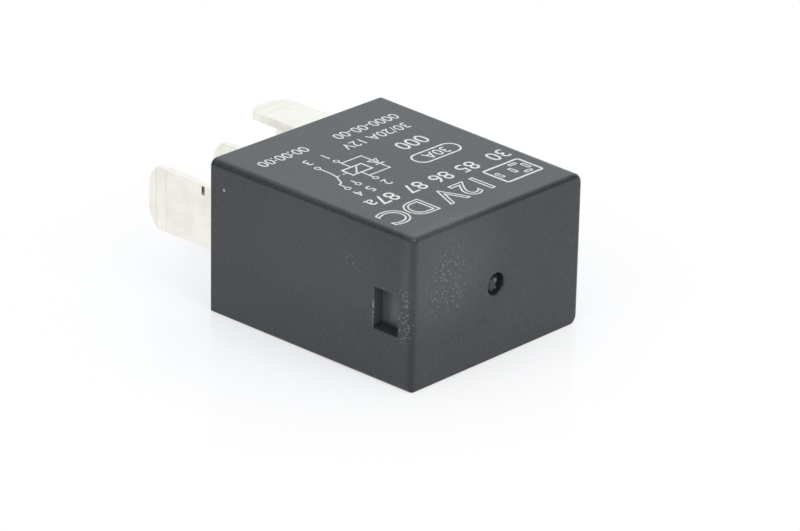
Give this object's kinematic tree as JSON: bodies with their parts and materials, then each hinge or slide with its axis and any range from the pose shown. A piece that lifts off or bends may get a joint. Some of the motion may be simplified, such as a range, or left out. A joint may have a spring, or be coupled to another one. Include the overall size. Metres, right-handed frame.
{
  "type": "automotive relay",
  "caption": "Small plug-in changeover relay: a dark moulded box with flat blade terminals, and a coil, hinged armature and leaf spring inside.",
  "frame": {"origin": "middle of the bounding box on the plane of the cover's back, on which the relay lies", "axes": "+Y along the blades, out of the socket side; +Z out of the label face; +X toward the side without the grip pocket"},
  "size_m": [0.023, 0.0368, 0.0153],
  "materials": {
    "cover": "fine spark-eroded texture, dark charcoal",
    "base": "plain moulded",
    "terminals": "tin-plated strip, dull",
    "iron": "zinc-plated soft iron",
    "bobbin": "natural nylon",
    "winding": "enamelled copper wire",
    "diode": "moulded body",
    "leads": "tinned wire",
    "spring": "spring bronze",
    "rivets": "plain",
    "contacts": "silver alloy"
  },
  "bodies": {
    "relay_body": {"cover": "cover", "base": "base", "coil_terminal_1": "terminals", "coil_terminal_2": "terminals", "common_terminal_3": "terminals", "closed_terminal_4": "terminals", "open_terminal_5": "terminals", "terminal_rivets": "rivets", "yoke": "iron", "core": "iron", "bobbin": "bobbin", "coil_winding": "winding", "diode": "diode", "diode_leads": "leads", "spring_rivets": "rivets", "closed_contact": "contacts", "open_contact": "contacts"},
    "armature_group": {"armature": "iron", "contact_spring": "spring", "armature_rivets": "rivets", "moving_contact": "contacts"}
  },
  "joints": [
    {"name": "armature_hinge", "type": "hinge", "parent": "relay_body", "child": "armature_group", "pos_m": [0.008, -0.01175, 0.00765], "axis": [0, 0, -1], "range_deg": [0, 2.6], "stiffness_Nm_per_rad": 0.01, "springref_deg": -17.19, "deforming": ["contact_spring"]}
  ]
}
